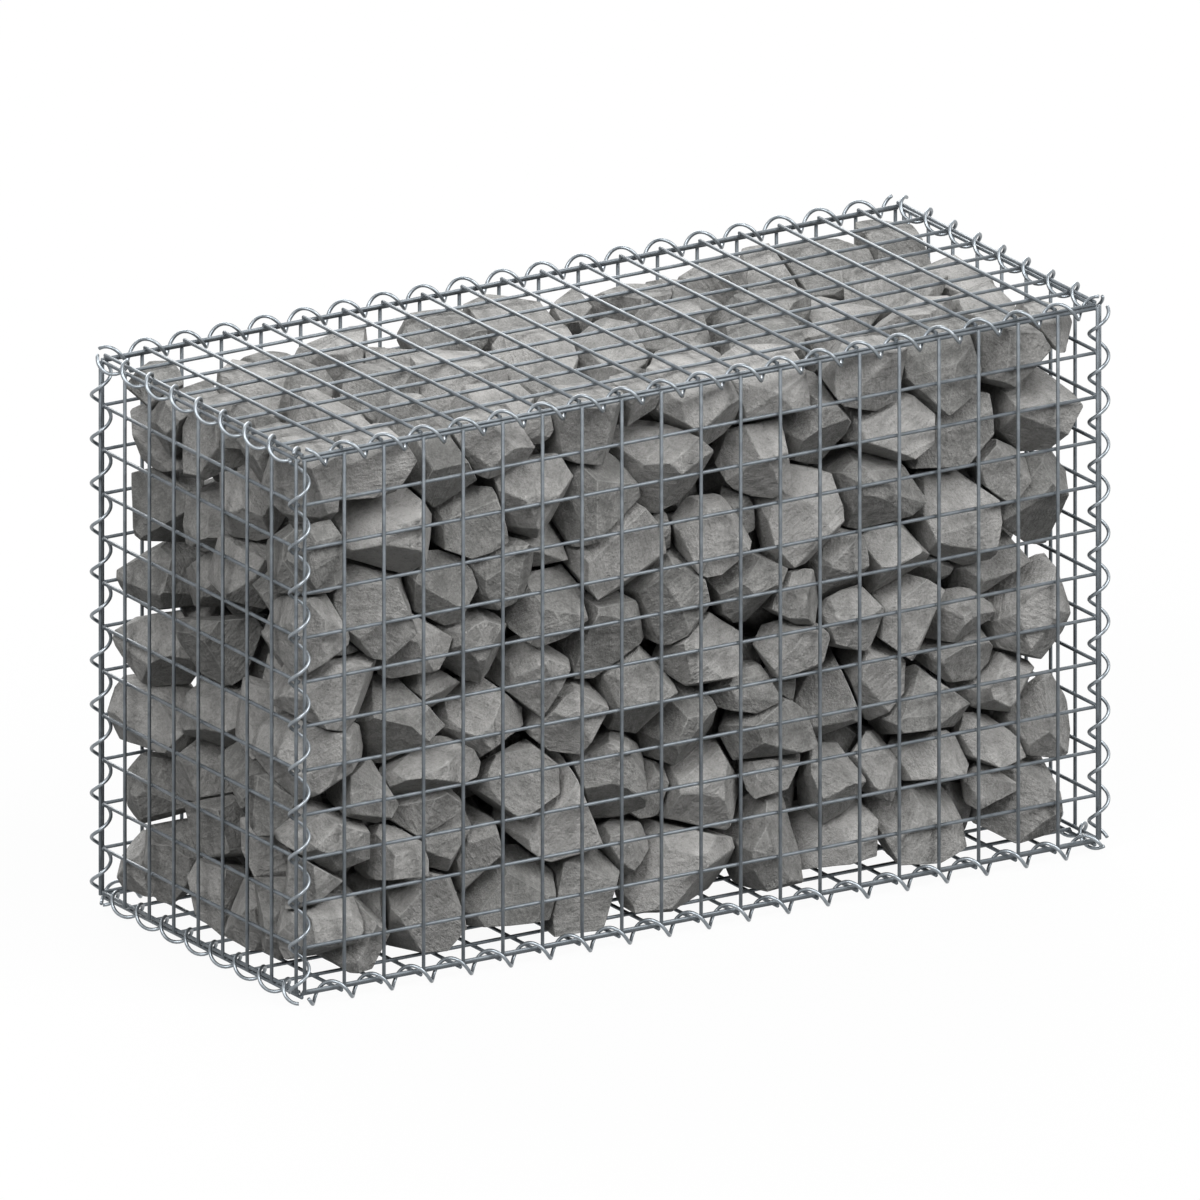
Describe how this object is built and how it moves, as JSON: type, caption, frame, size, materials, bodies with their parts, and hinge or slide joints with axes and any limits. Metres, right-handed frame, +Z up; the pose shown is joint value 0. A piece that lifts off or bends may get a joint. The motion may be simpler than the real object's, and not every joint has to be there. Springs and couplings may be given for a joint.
{
  "type": "gabion basket",
  "caption": "Box-shaped stone-filled gabion of welded wire mesh panels, laced along every edge with spiral binders; a unit for dry walls and retaining walls.",
  "frame": {"origin": "under the middle of the basket, at the level of its lowest spirals", "axes": "+X along the length, +Y to the back, +Z up"},
  "size_m": [1.0334, 0.4366, 0.6317],
  "materials": {
    "mesh_wire": "galvanised, satin",
    "spiral_wire": "galvanised, bright",
    "stone": "rough broken stone"
  },
  "bodies": {
    "root": {"front_mesh": "mesh_wire", "back_mesh": "mesh_wire", "left_end_mesh": "mesh_wire", "right_end_mesh": "mesh_wire", "bottom_mesh": "mesh_wire", "lid_mesh": "mesh_wire", "front_left_spiral": "spiral_wire", "front_right_spiral": "spiral_wire", "back_left_spiral": "spiral_wire", "back_right_spiral": "spiral_wire", "lid_front_spiral": "spiral_wire", "lid_back_spiral": "spiral_wire", "lid_left_spiral": "spiral_wire", "lid_right_spiral": "spiral_wire", "bottom_front_spiral": "spiral_wire", "bottom_back_spiral": "spiral_wire", "bottom_left_spiral": "spiral_wire", "bottom_right_spiral": "spiral_wire", "stone_course_1": "stone", "stone_course_2": "stone", "stone_course_3": "stone", "stone_course_4": "stone", "stone_course_5": "stone", "stone_course_6": "stone"}
  },
  "joints": []
}
